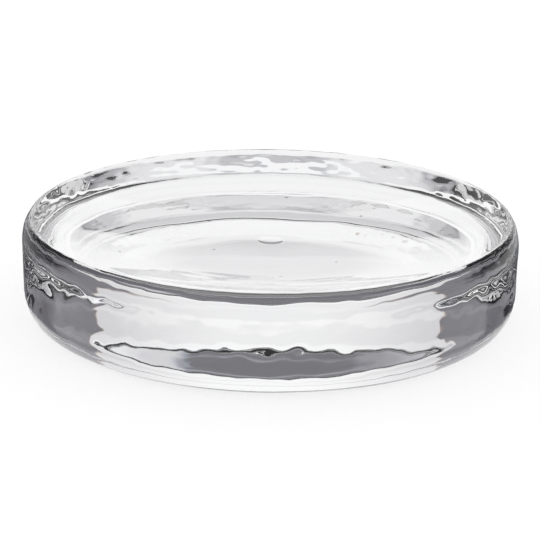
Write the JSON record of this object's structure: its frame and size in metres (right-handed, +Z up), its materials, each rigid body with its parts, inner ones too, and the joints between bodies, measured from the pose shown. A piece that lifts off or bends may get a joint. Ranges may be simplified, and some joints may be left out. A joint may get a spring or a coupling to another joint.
{
  "type": "candle bowl",
  "caption": "Heavy round shallow bowl of clear cast glass with a rounded rim, a wide dished hollow for candles and a domed underside.",
  "frame": {"origin": "middle of the foot, on the surface that the bowl stands on", "axes": "+Z up along the axis of the bowl; the bowl is round, so +X and +Y are alike"},
  "size_m": [0.24, 0.24, 0.05],
  "materials": {
    "clear_glass": "clear cast glass, fire polished, with chill ripples on the outside wall"
  },
  "bodies": {
    "root": {"glass_bowl": "clear_glass"}
  },
  "joints": []
}
